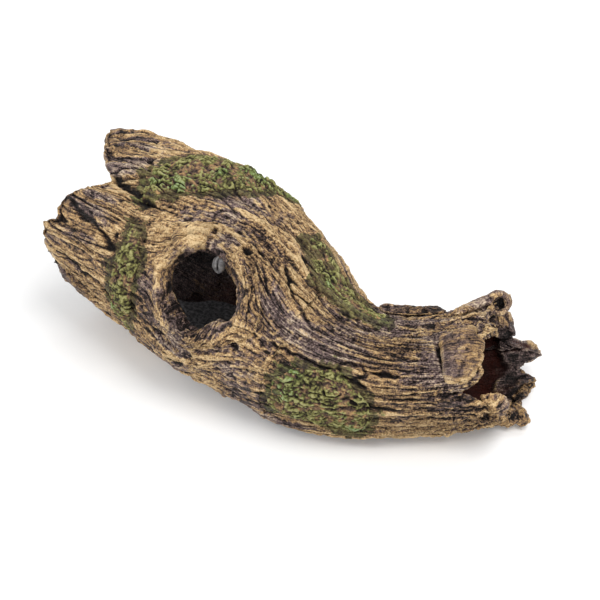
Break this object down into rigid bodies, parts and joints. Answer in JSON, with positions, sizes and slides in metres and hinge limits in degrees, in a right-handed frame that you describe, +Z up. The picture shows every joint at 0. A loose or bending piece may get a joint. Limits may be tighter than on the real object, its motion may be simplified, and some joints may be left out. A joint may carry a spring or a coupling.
{
  "type": "hollow log cave ornament",
  "caption": "Hollow log cave for an aquarium: a stout splintered trunk with a knot hole that bends into a slimmer open-mouthed arm, with moss pads, on a flat sole.",
  "frame": {"origin": "middle of the flat sole, under the log's mid-length, on the surface it stands on", "axes": "+X along the log from the splintered trunk end to the mouth of the arm, +Y to the back, away from the knot hole, +Z up"},
  "size_m": [0.2689, 0.1288, 0.1056],
  "materials": {
    "trunk_bark": "hand-painted cast resin, purple-brown base with a dry-brushed ochre grain and black wash in the cracks",
    "arm_bark": "hand-painted cast resin, ochre dry-brushed grain over brown",
    "floor_slab": "dark grey speckled resin, matt",
    "knot_wood": "dry-brushed ochre ridge over purple-brown",
    "old_wood": "weathered grey-brown, satin",
    "bark_flake": "smooth grey-brown bark with ochre edges",
    "mouth_wood": "crumbled painted resin, ochre tips over black-brown",
    "moss": "painted moss relief, olive to bright green, rough"
  },
  "bodies": {
    "root": {"trunk_upper": "trunk_bark", "trunk_lower": "trunk_bark", "branch_upper": "arm_bark", "branch_lower": "arm_bark", "floor_plate": "floor_slab", "knot_collar": "knot_wood", "knot_stub": "knot_wood", "knot_nodule": "old_wood", "bark_flap": "bark_flake", "bark_strip": "old_wood", "mouth_horn": "mouth_wood", "mouth_burl": "mouth_wood", "moss_top": "moss", "moss_left": "moss", "moss_front": "moss", "moss_slope": "moss"}
  },
  "joints": []
}
